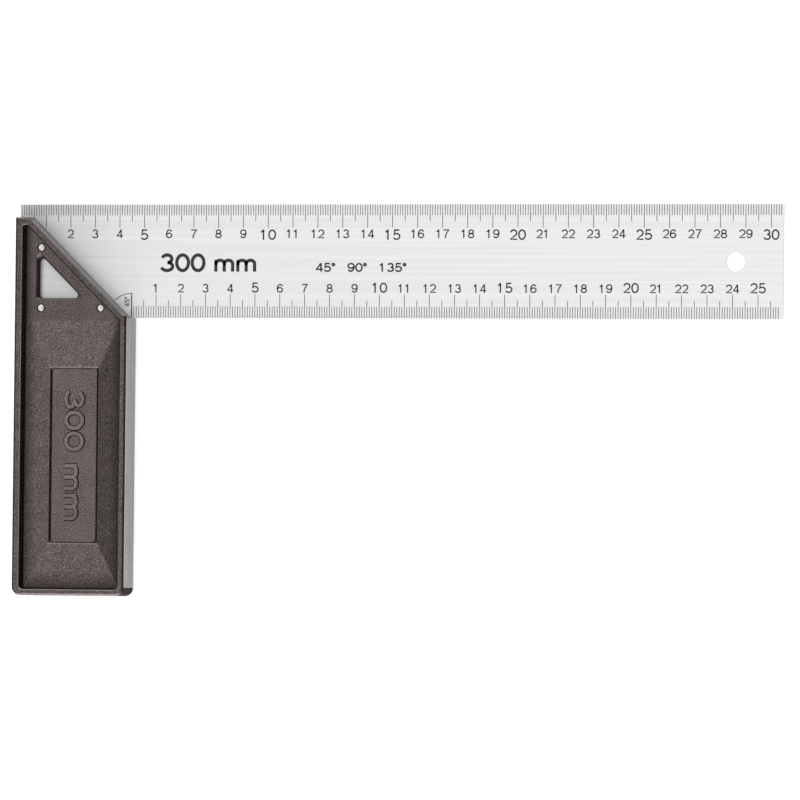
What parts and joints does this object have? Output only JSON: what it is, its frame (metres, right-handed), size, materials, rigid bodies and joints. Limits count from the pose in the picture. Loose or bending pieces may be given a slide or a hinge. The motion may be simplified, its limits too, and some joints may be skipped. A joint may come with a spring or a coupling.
{
  "type": "try and mitre square",
  "caption": "Graduated steel blade riveted square into a die-cast stock with a 45 degree head, for marking right angles and mitres.",
  "frame": {"origin": "centre of the bounding box, on the plane of the stock's back face that it lies on", "axes": "+X along the blade away from the stock, +Y from the foot of the stock towards the blade, +Z through the thickness towards the front face"},
  "size_m": [0.3056, 0.155, 0.018],
  "materials": {
    "stock_casting": "die-cast aluminium with fine textured dark grey paint, bare machined working faces",
    "blade_steel": "stainless steel, brushed lengthwise, with black etched graduations",
    "rivet_steel": "bright turned steel"
  },
  "bodies": {
    "root": {"stock": "stock_casting", "blade": "blade_steel", "rivet_upper": "rivet_steel", "rivet_lower": "rivet_steel", "rivet_inner": "rivet_steel"}
  },
  "joints": []
}
